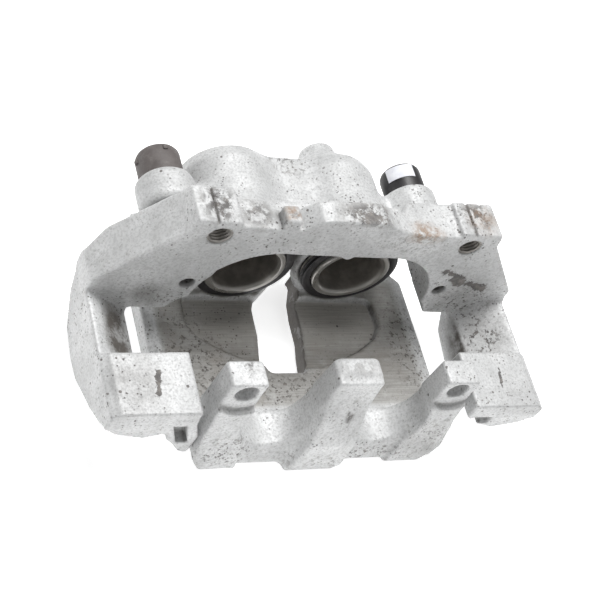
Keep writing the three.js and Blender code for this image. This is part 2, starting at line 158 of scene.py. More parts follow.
def both(a, b, r):
    """What is in a and in b, with a rounded edge."""
    u, v = np.maximum(a + r, 0), np.maximum(b + r, 0)
    return np.minimum(np.maximum(a, b), -r) + np.sqrt(u * u + v * v)


def either(a, b, r):
    """a joined to b, with a fillet between them."""
    u, v = np.maximum(r - a, 0), np.maximum(r - b, 0)
    return np.maximum(np.minimum(a, b), r) - np.sqrt(u * u + v * v)


def without(a, b, r):
    return both(a, -b, r)


def span(t, low, high):
    return np.abs(t - (low + high) / 2) - (high - low) / 2


def cylinder(x, y, z, cx, cz, y0, y1, radius, edge=0.8):
    r = np.sqrt((x - cx) ** 2 + (z - cz) ** 2) - radius
    return both(r, span(y, y0, y1), edge)


def bore(x, z, cx, cz, radius):
    return np.sqrt((x - cx) ** 2 + (z - cz) ** 2) - radius


def box(x, y, z, low, high, edge=1.0):
    d = both(span(x, low[0], high[0]), span(y, low[1], high[1]), edge)
    return both(d, span(z, low[2], high[2]), edge)


def ball(x, y, z, centre, radii):
    q = np.sqrt(((x - centre[0]) / radii[0]) ** 2 + ((y - centre[1]) / radii[1]) ** 2
                + ((z - centre[2]) / radii[2]) ** 2)
    return (q - 1) * min(radii)


# ---- Surface extraction ----------------------------------------------------------------------


def surface(field, low, high, step):
    """Vertices and quads of a field's zero surface, by surface nets, moved onto the surface."""
    low = np.asarray(low, float)
    n = [int(math.ceil((h - l) / step)) + 1 for l, h in zip(low, high)]
    ax = [np.float32(low[i]) + np.float32(step) * np.arange(n[i], dtype=np.float32) for i in range(3)]
    grid = field(ax[0][:, None, None], ax[1][None, :, None], ax[2][None, None, :])
    grid = np.broadcast_to(grid, n).astype(np.float32)
    inside = grid < 0
    m = [k - 1 for k in n]
    total = np.zeros(m, np.int8)
    for i in (0, 1):
        for j in (0, 1):
            for k in (0, 1):
                total += inside[i:i + m[0], j:j + m[1], k:k + m[2]]
    ci, cj, ck = np.nonzero((total > 0) & (total < 8))
    index = np.full(m, -1, np.int64)
    index[ci, cj, ck] = np.arange(len(ci))
    acc, cnt = np.zeros((len(ci), 3)), np.zeros(len(ci))
    corners = [(i, j, k) for i in (0, 1) for j in (0, 1) for k in (0, 1)]
    for a in corners:
        for axis in range(3):
            if a[axis]:
                continue
            b = list(a)
            b[axis] = 1
            fa = grid[ci + a[0], cj + a[1], ck + a[2]]
            fb = grid[ci + b[0], cj + b[1], ck + b[2]]
            cross = (fa < 0) != (fb < 0)
            t = np.where(cross, fa / np.where(cross, fa - fb, 1), 0)
            p = np.array(a, float)[None, :].repeat(len(ci), 0)
            p[:, axis] += t
            acc[cross] += p[cross]
            cnt += cross
    verts = low + step * (np.stack([ci, cj, ck], 1) + acc / cnt[:, None])
    quads = []
    for axis in range(3):
        b, c = (axis + 1) % 3, (axis + 2) % 3
        lo_cut, hi_cut = [slice(None)] * 3, [slice(None)] * 3
        lo_cut[axis], hi_cut[axis] = slice(0, -1), slice(1, None)
        for s in (lo_cut, hi_cut):
            s[b], s[c] = slice(1, -1), slice(1, -1)
        first, second = inside[tuple(lo_cut)], inside[tuple(hi_cut)]
        where = np.stack(np.nonzero(first != second), 1)
        where[:, b] += 1
        where[:, c] += 1
        ring = []
        for db, dc in ((-1, -1), (0, -1), (0, 0), (-1, 0)):
            q = where.copy()
            q[:, b] += db
            q[:, c] += dc
            ring.append(index[q[:, 0], q[:, 1], q[:, 2]])
        quad = np.stack(ring, 1)
        out = first[tuple((where - np.eye(3, dtype=int)[b] - np.eye(3, dtype=int)[c]).T)]
        quad[~out] = quad[~out][:, ::-1]
        quads.append(quad)
    grad = np.stack(np.gradient(grid, step), -1)
    for _ in range(3):
        g = sample(grad, verts, low, step)
        d = field(*[verts[:, i].astype(np.float32) for i in range(3)]).astype(float)
        size = np.maximum((g * g).sum(1), 0.2)
        move = np.clip(-d / size, -0.5 * step, 0.5 * step)[:, None] * g
        verts = verts + move
    return verts, np.concatenate(quads)


def sample(grid, pts, low, step):
    """Trilinear value of a grid at points."""
    q = (pts - low) / step
    i = np.clip(np.floor(q).astype(int), 0, np.array(grid.shape[:3]) - 2)
    f = q - i
    out = 0
    for a in (0, 1):
        for b in (0, 1):
            for c in (0, 1):
                w = ((f[:, 0] if a else 1 - f[:, 0]) * (f[:, 1] if b else 1 - f[:, 1])
                     * (f[:, 2] if c else 1 - f[:, 2]))
                out = out + w[:, None] * grid[i[:, 0] + a, i[:, 1] + b, i[:, 2] + c]
    return out


def add_mesh(name, verts_mm, faces, smooth=True):
    me = bpy.data.meshes.new(name)
    me.from_pydata(to_row(verts_mm).tolist(), [], [list(map(int, f)) for f in faces])
    me.validate()
    me.polygons.foreach_set("use_smooth", [smooth] * len(me.polygons))
    me.update()
    ob = bpy.data.objects.new(name, me)
    bpy.context.scene.collection.objects.link(ob)
    return ob


def normals(verts, quads):
    n = np.cross(verts[quads[:, 2]] - verts[quads[:, 0]], verts[quads[:, 3]] - verts[quads[:, 1]])
    out = np.zeros_like(verts)
    for k in range(4):
        np.add.at(out, quads[:, k], n)
    return out / np.maximum(np.linalg.norm(out, axis=1, keepdims=True), 1e-9)


def paint_value(ob, name, values):
    layer = ob.data.attributes.new(name, "FLOAT", "POINT")
    layer.data.foreach_set("value", np.asarray(values, np.float32))


# ---- Carrier casting -------------------------------------------------------------------------


def slope(x, a, b):
    """0 below a, 1 above b, smooth between."""
    t = np.clip((x - a) / (b - a), 0, 1)
    return t * t * (3 - 2 * t)


def beam_outline():
    half = arc(PISTON_X - 1.5, 2, 42, 84, 6, 10)
    half += [(84.5, -10.5), (ARM_X, -11), (ARM_X, -20), (HALF_WIDTH, 0), (HALF_WIDTH, 14),
             (96, 59.5), (94.5, 67.5)]
    right = half + [(45, 66.5), (36, 67.5), (26, 70), (14, 75.5)]
    left = half + [(50, 66), (40, 64.5), (33, 66), (24, 74), (19, 75.5)]
    return right + flip_u(left)


OUTLINE = soften(beam_outline(), 2.0, 3)
PLAN = soften([(-140, -10), (140, -10), (HALF_WIDTH + 1, 19.5), (124, 27), (97, 27), (92, 24),
               (-92, 24), (-97, 27), (-124, 27), (-HALF_WIDTH - 1, 19.5)], 4, 3)
STEP = soften([(-66, 19.5), (-42, 19.5), (-34, 14.8), (32, 14.8), (46, 34), (-66, 34)], 3, 3)
SWEEP = soften([(22, 12), (21, 2), (14, -16), (0, -31), (-19, -34.5), (-32, -33), (-57, -20),
                (-69, -12), (BLOCK_Y0, -5), (BLOCK_Y0, 4.9), (0, 4.9), (0, 12)], 5, 3)
BLOCK = soften([(85.4, BLOCK_Z), (85.4, -3), (96, -11), (110, -16.5), (127, -11.5),
                (HALF_WIDTH, -5), (HALF_WIDTH, 4.9), (129.5, BLOCK_Z)], 0.9, 3)
FOOT = soften([(-98, 2), (-96.4, -18.9), (-91.3, -24.1), (-84.8, -32.8), (-80.5, -34.5), (-78.8, -33),
               (-78.8, -17), (-84, -4), (-85.4, 2)], 1.5, 3)
FOOT_POCKET = [(-97.5, -4), (-89.5, -4), (-83, -22.5), (-89.5, -22.5)]


def carrier_field(x, y, z):
    ax = np.abs(x)
    beam = both(poly(x, z, OUTLINE), -y, 0.8)
    beam = both(beam, poly(x, y, PLAN), 2.2)
    step = both(poly(x, y, STEP), 60.5 - z, 3)
    beam = without(beam, step, 2.0)
    # raised pads along the top of the beam
    pads = np.minimum(box(x, y, z, (-94.3, 0.4, 60), (-83.5, 23.5, 69.8), 1.2),
                      box(x, y, z, (-82.5, 0.4, 60), (-69, 23.5, 69.4), 1.2))
    pads = np.minimum(pads, box(x, y, z, (67, 0.4, 60), (75.5, 23.2, 69.6), 1.0))
    pads = np.minimum(pads, box(x, y, z, (77, 0.4, 60), (85.5, 23.2, 69.4), 1.0))
    pads = np.minimum(pads, box(x, y, z, (86.5, 0.6, 60), (94.3, 23.2, 69.2), 1.0))
    beam = either(beam, pads, 1.5)
    # the knob in its half-round recess
    beam = without(beam, both(bore(x, z, -40.5, 77, 10.5), span(y, -2, 13), 2), 2)
    arms = both(poly(y, z, SWEEP), span(ax, ARM_X, HALF_WIDTH), 1.6)
    body = either(beam, arms, 3)
    blocks = both(poly(ax, z, BLOCK), span(y, BLOCK_Y0, BLOCK_Y1), 0.7)
    body = either(body, blocks, 2)
    foot = both(poly(x, z, FOOT), span(y, BLOCK_Y0, -65), 1.0)
    body = either(body, foot, 1.5)
    boss = cylinder(ax, y, z, GUIDE_X, GUIDE_Z, 0, 40, 14.5, 1.5)
    web = both(poly(ax, z, [(66.5, 10), (98, -4), (112, 30), (92, 34), (74, 29)]), span(y, 18, 34), 3)
    body = either(body, either(boss, web, 4), 4)
    # cuts
    rise = (BLOCK_Z - 2 + 13) / (HALF_WIDTH - ARM_X)
    height = (z + 13 - (ax - ARM_X) * rise) / math.hypot(1, rise)
    channel = both(both(-height, span(y, BLOCK_Y1, 0), 2.0), 98 - ax, 0.5)
    body = without(body, channel, 0.8)
    body = without(body, both(bore(ax, z, PISTON_X - 1.5, 2, 42), span(y, -3, 60), 0.5), 1.0)
    body = without(body, bore(ax, z, MOUNT_X, MOUNT_Z, 7.0), 0.7)
    body = without(body, bore(ax, z, GUIDE_X, GUIDE_Z, 4.4), 0.6)
    hollow = both(poly(x, z, FOOT_POCKET), y + 69.5, 1.0)
    hollow = np.minimum(hollow, box(x, y, z, (90, -80, -10.5), (104, -71, -4), 1.5))
    body = without(body, hollow, 0.8)
    knob = box(x, y, z, (-45.3, 0.6, 55), (-35.7, 11.5, 72.8), 1.6)
    body = either(body, knob, 0.8)
    body = either(body, ball(x, y, z, (4, 0.8, 44.8), (3.4, 2.4, 2.4)), 1.2)
    body = either(body, ball(x, y, z, (1.5, 1.2, 52), (4.5, 2.0, 5.0)), 2.5)
    return both(body, ax - HALF_WIDTH, 0.8)


# ---- Caliper casting -------------------------------------------------------------------------

BARREL = soften([(-20, FACE_Y), (33.5, FACE_Y), (33.5, 36), (31, 46), (30.3, 80), (27, 88),
                 (20, REAR_Y - 1), (-20, REAR_Y)], 6, 4)
BRIDGE_SECTION = soften([(-BRIDGE_X, -29), (-BRIDGE_X, -41), (-62, REST_Z), (62, REST_Z),
                         (BRIDGE_X, -41), (BRIDGE_X, -29)], 2.0, 3)
BRIDGE_PLAN = soften([(-BRIDGE_X, -62), (BRIDGE_X, -62), (BRIDGE_X, 33), (82, 42), (-82, 42),
                      (-BRIDGE_X, 33)], 3, 3)
POCKET_HALF = [(63, 21), (64, 2), (58, -7), (44, -16), (28, -23), (16, -27)]
POCKET = soften(POCKET_HALF + flip_u(POCKET_HALF), 5, 3)
WINDOW = soften([(-19, -30.5), (4, -30.5), (8.6, -24), (10, -13), (12, -3), (12.5, 14), (14, 26),
                 (20, 42), (8, 42), (-6, 29), (-14, 22), (-16.8, 15), (-17.5, -3), (-21, -23)], 5, 3)
WALL_SIDE = soften([(-57, REST_Z), (-57, 30), (-72, 30), (-72.5, 0), (-75, -22), (-79, -34),
                    (-80.5, -41), (-78, REST_Z)], 1.2, 3)
WALL_FRONT = soften([(-66, REST_Z), (70, REST_Z), (79, -42), (83.5, -33), (84, -20), (81, -8), (77, 6),
                     (76.5, 30), (-76.5, 30), (-77, -6), (-77.3, -28), (-75, -37), (-70, -44)], 2, 3)
PILLAR_SIDE = soften([(-60, REST_Z), (-60, 18), (-75, 18), (-76, 4), (-79, -18), (-82.5, -35),
                      (-83, -42), (-80.5, REST_Z)], 1.5, 3)
PILLAR_FRONT = soften([(48, REST_Z), (56, 18), (76.5, 18), (77.2, -28), (75, -37), (70, -44),
                       (66, REST_Z)], 2, 3)
HOLE_X, HOLE_Z = 65.4, 21.5
CENTRE_SIDE = soften([(-57, REST_Z), (-57, 32), (-65.5, 32), (-67, 30), (-86, -14),
                      (-87.3, -36), (-84, REST_Z)], 2, 3)
CENTRE_FRONT = soften([(-18, REST_Z), (15, REST_Z), (12.5, 0), (12, 33), (-11, 33),
                       (-14, 0)], 1.5, 3)


def caliper_field(x, y, z):
    ax = np.abs(x)
    r = np.sqrt((ax - PISTON_X) ** 2 + z ** 2)
    barrels = poly(r, y, BARREL)
    web = box(x, y, z, (-PISTON_X, 40, -12), (PISTON_X, 87, 22), 3)
    neck = box(x, y, z, (-9, 28, 8), (9, 42, 22), 2)
    body = either(either(barrels, web, 4), neck, 3)
    inlet = cylinder(x, y, z, INLET_X, INLET_Z, 70, INLET_Y, 11.5, 5)
    body = either(body, inlet, 6)
    body = either(body, cylinder(x, y, z, BLEED_X, BLEED_Z, 80, BLEED_Y, 8.5, 1.5), 5)
    bridge = both(poly(x, z, BRIDGE_SECTION), poly(x, y, BRIDGE_PLAN), 1.5)
    body = either(body, bridge, 8)
    rib = both(poly(y, z, [(FACE_Y, REST_Z), (64, REST_Z), (80, -22), (FACE_Y, -22)]),
               span(ax, PISTON_X - 6, PISTON_X + 6), 2)
    body = either(body, rib, 6)
    ear = cylinder(ax, y, z, GUIDE_X, GUIDE_Z, EAR_Y0, EAR_Y1, 16.6, 4)
    arm = both(poly(ax, z, [(40, 18), (64, 20), (74, 28), (80, 0), (62, -8), (40, -10)]),
               span(y, EAR_Y0 + 1, EAR_Y1 - 3), 3)
    body = either(body, either(ear, arm, 5), 5)
    wall = both(poly(y, z, WALL_SIDE), poly(x, z, WALL_FRONT), 1.2)
    pillar = both(poly(y, z, PILLAR_SIDE), poly(ax, z, PILLAR_FRONT), 1.5)
    spot = both(bore(ax, z, HOLE_X, HOLE_Z, 15.5), y + 72, 0.5)
    pillar = without(pillar, spot, 0.7)
    body = either(body, wall, 5)
    body = either(body, pillar, 1.2)
    pocket = both(poly(x, y, POCKET), span(z, -34, 10), 1.2)
    body = without(body, pocket, 1.5)
    gap = np.minimum(bore(ax, z, PISTON_X, -5, 23), np.maximum(span(ax, 13.7, 55.7), -z - 5))
    body = without(body, both(gap, span(y, -100, -52), 1), 1.6)
    centre = both(poly(y, z, CENTRE_SIDE), poly(x, z, CENTRE_FRONT), 2)
    body = either(body, centre, 4)
    top = np.where(y < 21, -12, -28)
    body = without(body, both(poly(x, y, WINDOW), np.maximum(z - top, -60 - z), 1), 1.5)
    # machined cuts
    body = without(body, both(bore(ax, z, PISTON_X, 0, 24.3), span(y, 0, 76), 0.5), 0.5)
    body = without(body, both(bore(ax, z, PISTON_X, 0, 31), span(y, 18, 26), 0.5), 0.8)
    body = without(body, both(bore(ax, z, PISTON_X, 0, 29.8), span(y, 20, 33), 0.5), 0.8)
    body = without(body, both(bore(ax, z, PISTON_X, 0, 27.5), span(y, 40, 46), 0.3), 0.3)
    body = without(body, both(bore(ax, z, GUIDE_X, GUIDE_Z, 11.5), 40 - y, 0.5), 0.8)
    body = without(body, bore(ax, z, HOLE_X, HOLE_Z, 6.5) + np.maximum(y + 50, 0), 0.6)
    body = without(body, both(bore(x, z, INLET_X, INLET_Z, 5), 74 - y, 0.5), 0.8)
    body = without(body, both(bore(x, z, BLEED_X, BLEED_Z, 3.6), 74 - y, 0.5), 0.6)
    return both(body, REST_Z - z, 0.8)


# ---- Materials -------------------------------------------------------------------------------


class Nodes:
    """Short names for building a node material."""

    def __init__(self, name):
        self.mat = bpy.data.materials.new(name)
        self.mat.use_nodes = True
        self.tree = self.mat.node_tree
        self.tree.nodes.clear()
        self.out = self.tree.nodes.new("ShaderNodeOutputMaterial")
        self.bsdf = self.tree.nodes.new("ShaderNodeBsdfPrincipled")
        self.link(self.bsdf.outputs[0], self.out.inputs[0])
        self.place = self.tree.nodes.new("ShaderNodeTexCoord").outputs["Object"]

    def link(self, a, b):
        self.tree.links.new(a, b)

    def put(self, socket, value):
        if isinstance(value, bpy.types.NodeSocket):
            self.link(value, socket)
        else:
            socket.default_value = value

    def set(self, **values):
        for key, value in values.items():
            self.put(self.bsdf.inputs[key.replace("_", " ")], value)

    def scaled(self, sx, sy, sz):
        n = self.tree.nodes.new("ShaderNodeMapping")
        self.link(self.place, n.inputs["Vector"])
        n.inputs["Scale"].default_value = (sx, sy, sz)
        return n.outputs[0]

    def noise(self, scale, detail=4, rough=0.55, distort=0.0, place=None, w=0.0):
        n = self.tree.nodes.new("ShaderNodeTexNoise")
        n.noise_dimensions = "4D"
        self.link(place or self.place, n.inputs["Vector"])
        n.inputs["W"].default_value = w
        n.inputs["Scale"].default_value = scale
        n.inputs["Detail"].default_value = detail
        n.inputs["Roughness"].default_value = rough
        n.inputs["Distortion"].default_value = distort
        return n.outputs["Fac"]

    def cells(self, scale):
        n = self.tree.nodes.new("ShaderNodeTexVoronoi")
        self.link(self.place, n.inputs["Vector"])
        n.inputs["Scale"].default_value = scale
        return n.outputs["Distance"]

    def ramp(self, value, a, b, lo=0.0, hi=1.0):
        n = self.tree.nodes.new("ShaderNodeMapRange")
        n.interpolation_type = "SMOOTHSTEP"
        self.put(n.inputs["Value"], value)
        n.inputs["From Min"].default_value = a
        n.inputs["From Max"].default_value = b
        n.inputs["To Min"].default_value = lo
        n.inputs["To Max"].default_value = hi
        return n.outputs["Result"]

    def math(self, op, a, b=0.0):
        n = self.tree.nodes.new("ShaderNodeMath")
        n.operation = op
        self.put(n.inputs[0], a)
        self.put(n.inputs[1], b)
        return n.outputs[0]

    def mix(self, fac, a, b):
        n = self.tree.nodes.new("ShaderNodeMix")
        n.data_type = "RGBA"
        self.put(n.inputs["Factor"], fac)
        for socket, value in ((n.inputs[6], a), (n.inputs[7], b)):
            self.put(socket, value if isinstance(value, bpy.types.NodeSocket) else (*value, 1))
        return n.outputs[2]

    def blend(self, fac, a, b):
        n = self.tree.nodes.new("ShaderNodeMix")
        n.data_type = "FLOAT"
        self.put(n.inputs["Factor"], fac)
        self.put(n.inputs[2], a)
        self.put(n.inputs[3], b)
        return n.outputs[0]

    def layer(self, name):
        n = self.tree.nodes.new("ShaderNodeAttribute")
        n.attribute_name = name
        return n.outputs["Fac"]

    def bump(self, *pairs):
        normal = None
        for height, strength, distance in pairs:
            n = self.tree.nodes.new("ShaderNodeBump")
            self.link(height, n.inputs["Height"])
            n.inputs["Strength"].default_value = strength
            n.inputs["Distance"].default_value = distance
            if normal:
                self.link(normal, n.inputs["Normal"])
            normal = n.outputs[0]
        self.link(normal, self.bsdf.inputs["Normal"])

    def axis(self, name):
        n = self.tree.nodes.new("ShaderNodeSeparateXYZ")
        self.link(self.place, n.inputs[0])
        return n.outputs[name]


def silver_paint():
    """Silver paint over rough cast iron: mottled, chipped to dark metal, with painted shade and grime in
    the hollows and painted light on the pocket floor.
    """
    m = Nodes("silver_paint")
    tone = m.noise(26, 5, 0.62, w=1.0)
    cloud = m.noise(90, 4, 0.6, w=1.5)
    fine = m.noise(700, 3, 0.65, w=2.0)
    colour = m.mix(m.ramp(tone, 0.36, 0.66), (0.56, 0.565, 0.565), (0.72, 0.725, 0.725))
    colour = m.mix(m.ramp(cloud, 0.44, 0.70, 0, 0.34), colour, (0.44, 0.445, 0.44))
    colour = m.mix(m.ramp(fine, 0.42, 0.66, 0, 0.46), colour, (0.34, 0.34, 0.34))
    # painted shade and grime: darker where the hollow mask is high
    shade_and_grime = m.math("MULTIPLY", m.layer("hollow"),
                   m.ramp(m.noise(75, 5, 0.68, w=3.0), 0.30, 0.62, 0.25, 1.0))
    colour = m.mix(m.math("MULTIPLY", shade_and_grime, 0.84), colour, (0.115, 0.105, 0.095))
    # bare machined floor under the paint, with cutter lines along X
    bare = m.layer("bare")
    lines = m.noise(1.0, 3, 0.6, place=m.scaled(45, 1300, 45), w=4.0)
    broad = m.noise(1.0, 3, 0.6, place=m.scaled(20, 260, 20), w=4.5)
    metal = m.mix(m.ramp(lines, 0.36, 0.66), (0.245, 0.237, 0.221), (0.330, 0.321, 0.301))
    metal = m.mix(m.ramp(broad, 0.42, 0.70, 0, 0.55), metal, (0.155, 0.145, 0.126))
    metal = m.mix(m.ramp(m.noise(35, 4, 0.6, w=5.0), 0.48, 0.72, 0, 0.5), metal, (0.20, 0.17, 0.135))
    # painted light: brighter metal on the inboard pocket floor, standing in for light that falls there
    lit_metal = m.mix(m.ramp(lines, 0.3, 0.7), (0.40, 0.385, 0.36), (0.50, 0.485, 0.455))
    metal = m.mix(m.math("MULTIPLY", m.layer("pocket_light"), 0.85), metal, lit_metal)
    patchy = m.math("MULTIPLY", bare, m.ramp(m.noise(65, 5, 0.7, w=6.0), 0.22, 0.5, 0.6, 1.0))
    colour = m.mix(patchy, colour, metal)
    # chips: small dark pits gathered in drifts, a few larger ones, worn patches and edges
    drift = m.ramp(m.noise(20, 3, 0.6, w=7.0), 0.44, 0.66)
    drift = m.math("MAXIMUM", drift, m.layer("speckle"))
    tiny = m.math("MULTIPLY", m.ramp(m.cells(560), 0.16, 0.34, 1.0, 0.0),
                  m.ramp(m.noise(210, 2, 0.5, w=8.0), 0.50, 0.58))
    small = m.math("MULTIPLY", m.ramp(m.cells(330), 0.14, 0.26, 1.0, 0.0),
                   m.ramp(m.noise(130, 2, 0.5, w=8.5), 0.52, 0.60))
    pits = m.math("MULTIPLY", m.math("MAXIMUM", tiny, small), m.ramp(drift, 0.0, 0.8, 0.35, 1.0))
    drifts = m.math("MAXIMUM", m.ramp(m.noise(70, 2, 0.5, w=9.0), 0.56, 0.60),
                    m.math("MULTIPLY", m.layer("speckle"), 0.9))
    rare = m.math("MULTIPLY", m.ramp(m.cells(170), 0.11, 0.18, 1.0, 0.0), drifts)
    dense = m.math("MULTIPLY", m.layer("speckle"), m.ramp(m.noise(330, 4, 0.7, w=9.5), 0.545, 0.60))
    wear = m.math("MULTIPLY", m.layer("wear"), m.ramp(m.noise(130, 6, 0.75, 0.4, w=10.0), 0.45, 0.55))
    edge = m.math("MULTIPLY", m.layer("edge"),
                  m.ramp(m.noise(150, 5, 0.7, w=11.0), 0.55, 0.66, 0, 0.75))
    chips = m.math("MAXIMUM", m.math("MAXIMUM", pits, rare), m.math("MAXIMUM", wear, edge))
    chips = m.math("MAXIMUM", chips, dense)
    ragged = m.math("MULTIPLY", m.math("SUBTRACT", m.noise(150, 6, 0.75, 0.6, w=11.5), 0.5), 2.6)
    streak = m.ramp(m.math("ADD", m.layer("streak"), ragged), 0.66, 0.74)
    streak = m.math("MULTIPLY", streak, m.ramp(m.layer("streak"), 0.02, 0.2))
    chips = m.math("MAXIMUM", chips, streak)
    iron = m.mix(m.ramp(m.noise(210, 3, 0.6, w=12.0), 0.4, 0.7),
                 (0.060, 0.052, 0.048), (0.20, 0.178, 0.158))
    colour = m.mix(m.math("MULTIPLY", chips, 0.82), colour, iron)
    rust = m.math("MULTIPLY", m.layer("rust"), m.ramp(m.noise(170, 6, 0.75, 0.5, w=13.0), 0.40, 0.60))
    colour = m.mix(m.math("MULTIPLY", rust, 0.75), colour, (0.30, 0.19, 0.115))
    m.set(Base_Color=colour, Metallic=0.18)
    rough = m.blend(m.math("MAXIMUM", chips, m.math("MULTIPLY", patchy, 0.3)),
                    m.ramp(fine, 0.3, 0.7, 0.49, 0.65), 0.8)
    m.set(Roughness=rough)
    cast = m.noise(420, 4, 0.65, w=14.0)
    lumps = m.noise(75, 3, 0.5, w=15.0)
    m.bump((lumps, 0.45, 0.0007), (cast, 0.8, 0.00030), (m.math("SUBTRACT", 1.0, chips), 0.7, 0.0003))
    return m.mat


def turned_steel():
    m = Nodes("turned_steel")
    tone = m.noise(40, 4, 0.6, w=1.0)
    rings = m.noise(1.0, 3, 0.6, place=m.scaled(30, 2600, 30), w=2.0)
    colour = m.mix(m.ramp(tone, 0.35, 0.7), (0.40, 0.385, 0.36), (0.56, 0.545, 0.52))
    inner = m.layer("inner")
    dark = m.mix(m.ramp(m.noise(80, 5, 0.65, w=3.0), 0.4, 0.68),
                 (0.20, 0.185, 0.168), (0.34, 0.315, 0.285))
    colour = m.mix(inner, colour, dark)
    m.set(Base_Color=colour, Metallic=m.blend(inner, 0.85, 0.35))
    m.set(Roughness=m.blend(inner, m.ramp(rings, 0.3, 0.7, 0.24, 0.42), 0.6))
    m.bump((rings, 0.25, 0.00005), (tone, 0.1, 0.0001))
    return m.mat


def plated_steel():
    m = Nodes("plated_steel")
    tone = m.noise(90, 5, 0.65, w=1.0)
    colour = m.mix(m.ramp(tone, 0.35, 0.7), (0.33, 0.31, 0.275), (0.52, 0.50, 0.46))
    spots = m.ramp(m.noise(240, 4, 0.7, w=2.0), 0.60, 0.68, 0, 0.7)
    colour = m.mix(spots, colour, (0.20, 0.13, 0.08))
    # the pins' tips, deep in their holes, turn near black and dull below Y 16.5 mm
    tip_dark = m.ramp(m.axis("Y"), SHIFT[1] + 0.0165, SHIFT[1] + 0.020, 1.0, 0.0)
    colour = m.mix(m.math("MULTIPLY", tip_dark, 0.92), colour, (0.045, 0.042, 0.040))
    m.set(Base_Color=colour, Metallic=m.blend(tip_dark, 0.8, 0.1))
    m.set(Roughness=m.blend(tip_dark, m.ramp(tone, 0.3, 0.7, 0.35, 0.55), 0.85))
    m.bump((tone, 0.2, 0.0001))
    return m.mat


def rubber(name, low, high, dust, rough=0.6):
    m = Nodes(name)
    tone = m.noise(55, 5, 0.65, w=1.0)
    colour = m.mix(m.ramp(tone, 0.35, 0.7), low, high)
    powder = m.ramp(m.noise(150, 6, 0.75, w=2.0), 0.50, 0.72, 0, 0.55)
    colour = m.mix(powder, colour, dust)
    m.set(Base_Color=colour, Roughness=m.ramp(tone, 0.3, 0.7, rough - 0.08, rough + 0.12))
    m.bump((m.noise(420, 3, 0.6, w=3.0), 0.3, 0.00012), (m.noise(60, 2, 0.5, w=4.0), 0.15, 0.0004))
    return m.mat


def label_paper():
    m = Nodes("label_paper")
    tone = m.noise(130, 5, 0.7, w=1.0)
    colour = m.mix(m.ramp(tone, 0.35, 0.7), (0.74, 0.75, 0.80), (0.86, 0.87, 0.90))
    smudge = m.ramp(m.noise(70, 4, 0.7, 0.5, w=2.0), 0.56, 0.70, 0, 0.35)
    colour = m.mix(smudge, colour, (0.46, 0.46, 0.56))
    m.set(Base_Color=colour, Roughness=m.ramp(tone, 0.3, 0.7, 0.55, 0.75))
    m.bump((m.noise(300, 4, 0.7, w=3.0), 0.25, 0.0001))
    return m.mat


PAINT = silver_paint()
STEEL = turned_steel()
ZINC = plated_steel()
BLACK = rubber("black_rubber", (0.018, 0.017, 0.018), (0.040, 0.038, 0.040), (0.11, 0.105, 0.10), 0.45)
BROWN = rubber("aged_rubber", (0.085, 0.072, 0.068), (0.16, 0.145, 0.14), (0.27, 0.25, 0.24), 0.6)
SEAL = rubber("seal_rubber", (0.014, 0.014, 0.015), (0.026, 0.026, 0.028), (0.06, 0.06, 0.06), 0.4)
PAPER = label_paper()


def dress(ob, material, body, slot, *nodes):
    ob.data.materials.clear()
    ob.data.materials.append(material)
    if body:
        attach(ob, body)
    if nodes:
        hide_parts(*nodes)
    return ob


# ---- Castings --------------------------------------------------------------------------------


def masks(field, verts, n, reach=2.5):
    """How far each point is in a hollow, and how far on an edge, both 0 to 1."""
    depth = 1.6
    outside, inside = [field(*[p[:, i].astype(np.float32) for i in range(3)])
                       for p in (verts + n * reach, verts - n * depth)]
    return np.clip((reach - outside) / reach, 0, 1), np.clip(depth + inside, 0, 1)


def blob(verts, centre, radii):
    q = np.sqrt((((verts - np.array(centre)) / np.array(radii)) ** 2).sum(1))
    return np.clip(1.6 - 1.6 * q, 0, 1)


def stroke(verts, start, end, width):
    """A mark from start to end, 1 along its middle."""
    a, e = np.array(start, float), np.array(end, float) - np.array(start, float)
    t = np.clip((verts - a) @ e / (e @ e), 0, 1)
    return np.clip(1.1 - np.linalg.norm(verts - a - t[:, None] * e, axis=1) / width, 0, 1)


GRID = 1.15

v, q = surface(carrier_field, (-138, -80, -39), (138, 44, 80), GRID)
nv = normals(v, q)
carrier = add_mesh("carrier_casting", v, q)
hollow, edge = masks(carrier_field, v, nv)
wear = np.maximum.reduce([
    blob(v, (-58, 10, 66), (14, 12, 8)) * 0.8, blob(v, (-40.5, 6, 74), (7, 7, 3)) * 0.75,
    blob(v, (6, 6, 76), (26, 12, 5)),
    blob(v, (80, 14, 69), (16, 12, 5)),
    blob(v, (-80, 12, 70), (14, 16, 5))])
rust = np.maximum.reduce([blob(v, (44, 2, 66), (15, 10, 9)), blob(v, (84, 12, 69), (14, 14, 5)) * 0.6,
                          blob(v, (-40.5, 6, 73), (8, 8, 5)) * 0.9])
# painted shade inside the guide holes, where the pins sit
pin_hole = slope(5.6 - bore(np.abs(v[:, 0]), v[:, 2], GUIDE_X, GUIDE_Z, 0), 0.4, 1.1)
pin_hole *= slope(v[:, 1], 0.5, 2.5)
# painted shade with some grime: recesses, guide holes, the left channel slope, the block tops, under the
# beam and the arm's inner walls
paint_value(carrier, "hollow", np.maximum.reduce([
    hollow, pin_hole * 1.6, blob(v, (-117, -20, -6), (14, 26, 16)) * slope(nv[:, 2], 0.5, 0.8) * 1.5,
    blob(v, (-118, -58, BLOCK_Z), (20, 26, 4)) * 0.45,
    blob(v, (118, -58, BLOCK_Z), (20, 26, 4)) * 0.12,
    blob(v, (-100, 4, 2), (16, 14, 16)) * slope(-nv[:, 1], 0.5, 0.8) * 0.6,
    blob(v, (118, -20, -2), (22, 30, 16)) * slope(nv[:, 2], 0.4, 0.7) * 0.4,
    blob(v, (106, -22, -10), (8, 26, 22)) * slope(-nv[:, 0], 0.5, 0.8) * 1.5,
    blob(v, (98, 0, 4), (24, 6, 34)) * 0.35]))
paint_value(carrier, "edge", edge)
paint_value(carrier, "wear", wear)
paint_value(carrier, "rust", rust)
paint_value(carrier, "bare", np.zeros(len(v)))
